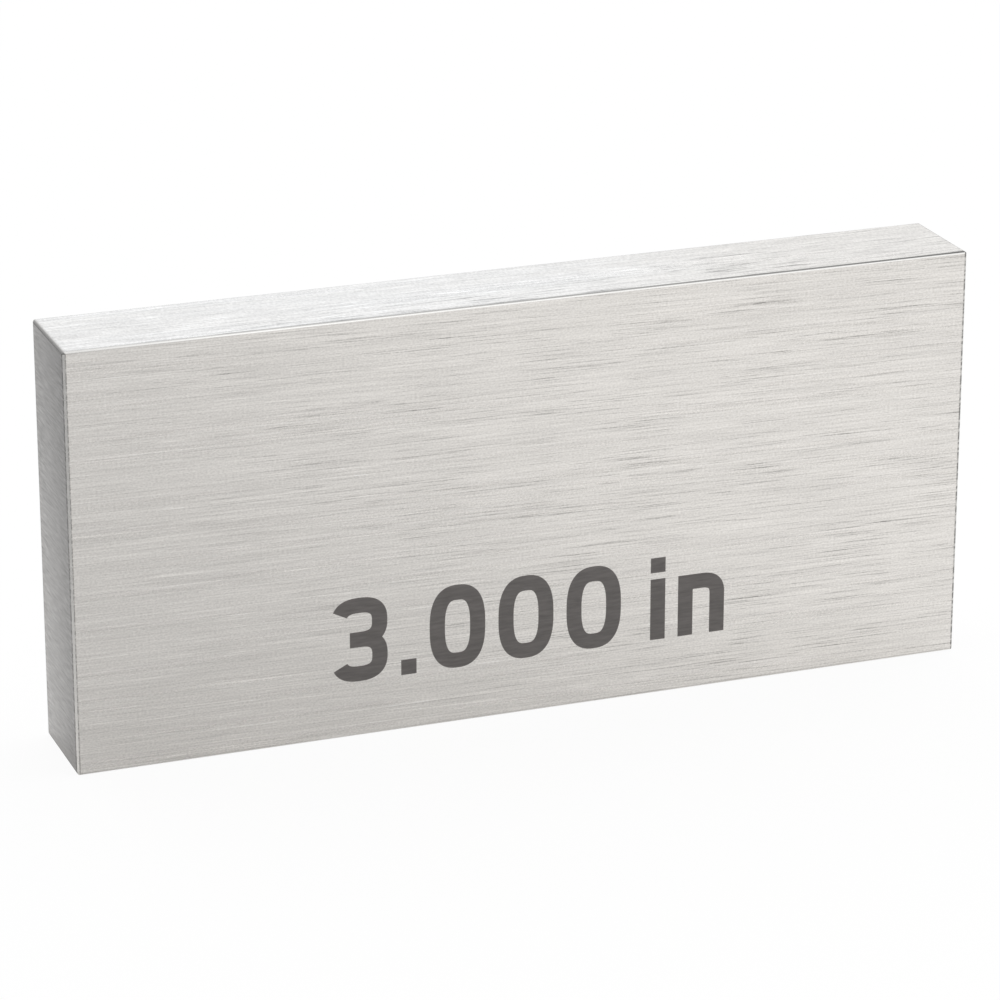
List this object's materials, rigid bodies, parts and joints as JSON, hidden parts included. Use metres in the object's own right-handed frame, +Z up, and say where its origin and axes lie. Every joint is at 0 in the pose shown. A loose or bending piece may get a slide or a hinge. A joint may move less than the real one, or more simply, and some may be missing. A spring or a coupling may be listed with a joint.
{
  "type": "gauge block",
  "caption": "Rectangular steel gauge block: a solid bar with two lapped measuring faces a known length apart, ground sides and finely bevelled edges.",
  "frame": {"origin": "centre of the narrow ground side that the block stands on", "axes": "+X along the nominal length from one measuring face to the other, +Y through the thickness away from the marked side, +Z up"},
  "size_m": [0.0762, 0.009, 0.035],
  "materials": {
    "ground_steel": "satin",
    "etched_mark": "matte"
  },
  "bodies": {
    "root": {"gauge_block": "ground_steel"}
  },
  "joints": []
}
